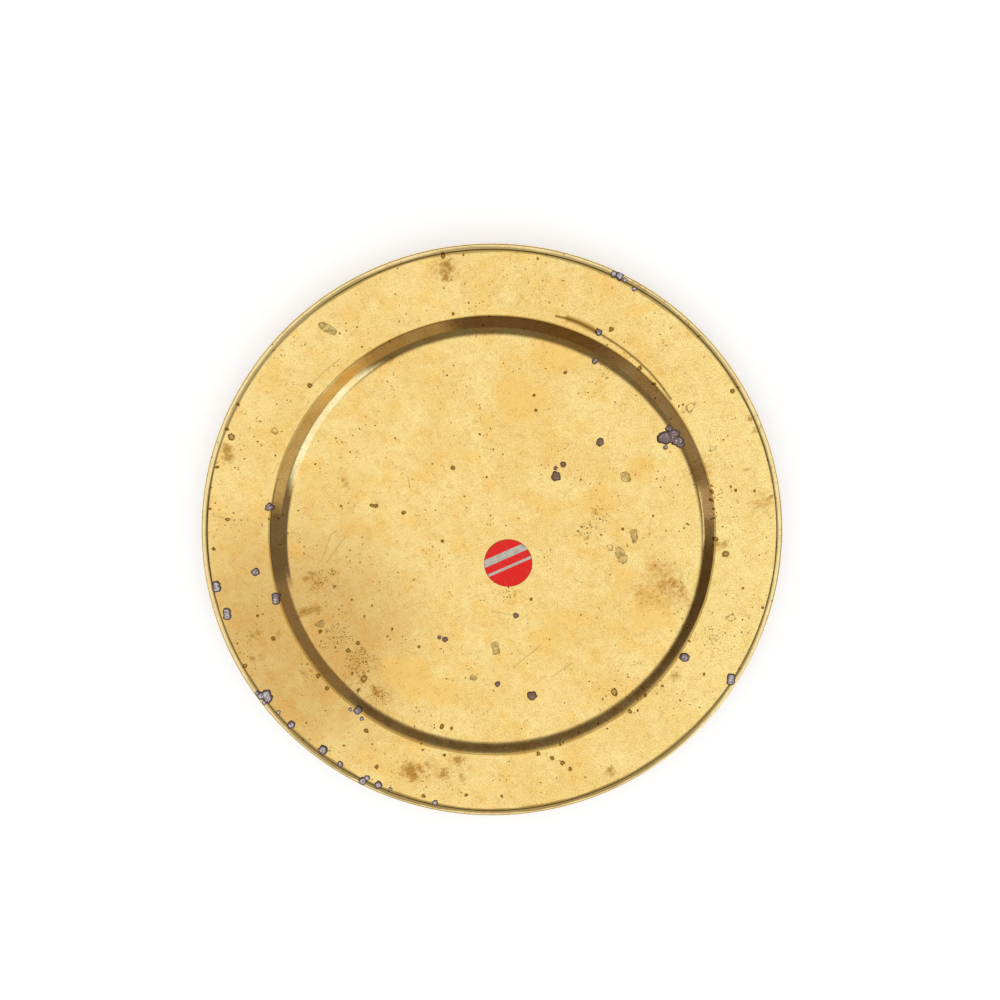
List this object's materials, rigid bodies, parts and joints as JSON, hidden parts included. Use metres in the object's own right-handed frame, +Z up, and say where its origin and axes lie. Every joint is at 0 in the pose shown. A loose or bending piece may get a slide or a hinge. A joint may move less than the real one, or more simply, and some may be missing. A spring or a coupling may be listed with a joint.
{
  "type": "charger plate",
  "caption": "Round spun brass charger plate with a flat sunken well, a wide gently rising rim, a wired rolled edge and a round paper label in the well.",
  "frame": {"origin": "centre of the flat underside, on the surface that the plate stands on", "axes": "+Z up along the axis of revolution, out of the well; +X to the right and +Y to the top of the picture"},
  "size_m": [0.33, 0.33, 0.019],
  "materials": {
    "brass": "polished",
    "wire_steel": "satin",
    "label_print": "satin",
    "label_adhesive": "matte"
  },
  "bodies": {
    "root": {"plate_body": "brass", "edge_wire": "wire_steel", "label_paper": "label_print", "label_gum": "label_adhesive"}
  },
  "joints": []
}
